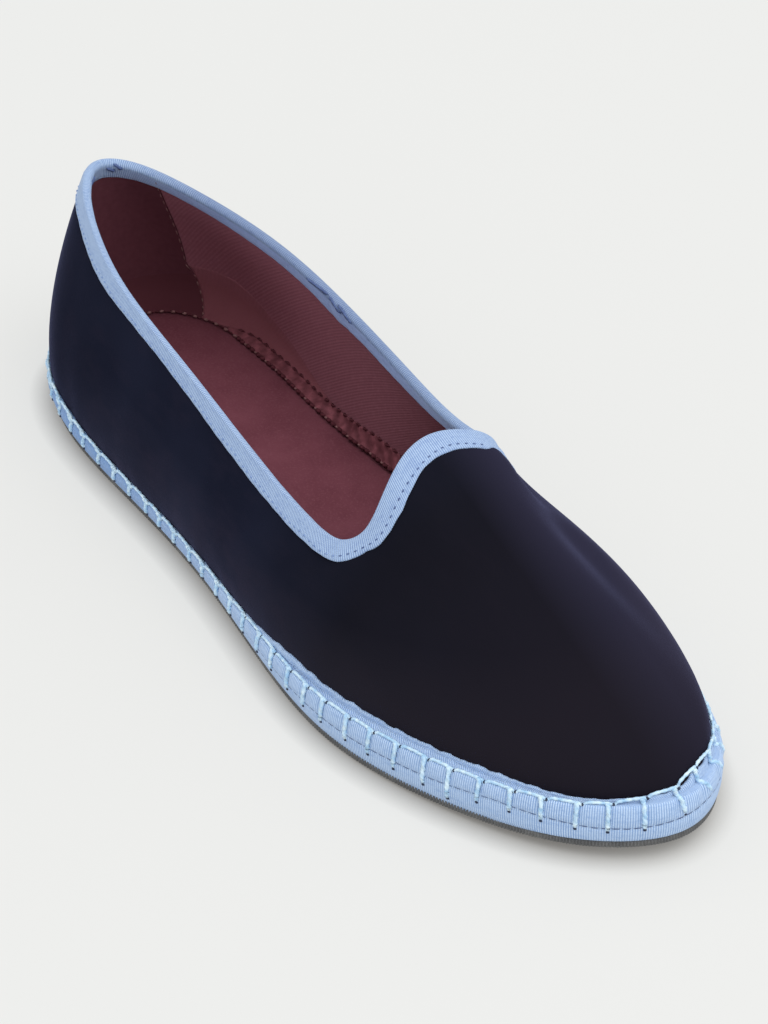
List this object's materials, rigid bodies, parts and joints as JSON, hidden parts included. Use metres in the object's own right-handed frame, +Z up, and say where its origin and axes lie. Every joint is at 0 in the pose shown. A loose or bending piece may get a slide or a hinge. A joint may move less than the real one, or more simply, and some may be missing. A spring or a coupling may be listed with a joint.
{
  "type": "slipper loafer",
  "caption": "Soft slip-on slipper loafer for the right foot: pointed oval toe, low bound collar with a rounded tongue, thin flat sole with a ribbon-covered band.",
  "frame": {"origin": "on the floor under the middle of the shoe's bounding box", "axes": "+X from heel to toe, +Y to the wearer's left (the inner side of this right shoe), +Z up"},
  "size_m": [0.2558, 0.0828, 0.0598],
  "materials": {
    "outsole_rubber": "matte, finely ribbed at its edge",
    "grosgrain_band": "light blue ribbed ribbon, slight sheen",
    "insole_cloth": "burgundy, matte",
    "upper_velvet": "navy velvet with soft nap sheen",
    "binding_ribbon": "light blue ribbed ribbon, slight sheen"
  },
  "bodies": {
    "root": {"outsole": "outsole_rubber", "midsole": "grosgrain_band", "insole": "insole_cloth", "upper": "upper_velvet", "collar_binding": "binding_ribbon"}
  },
  "joints": []
}
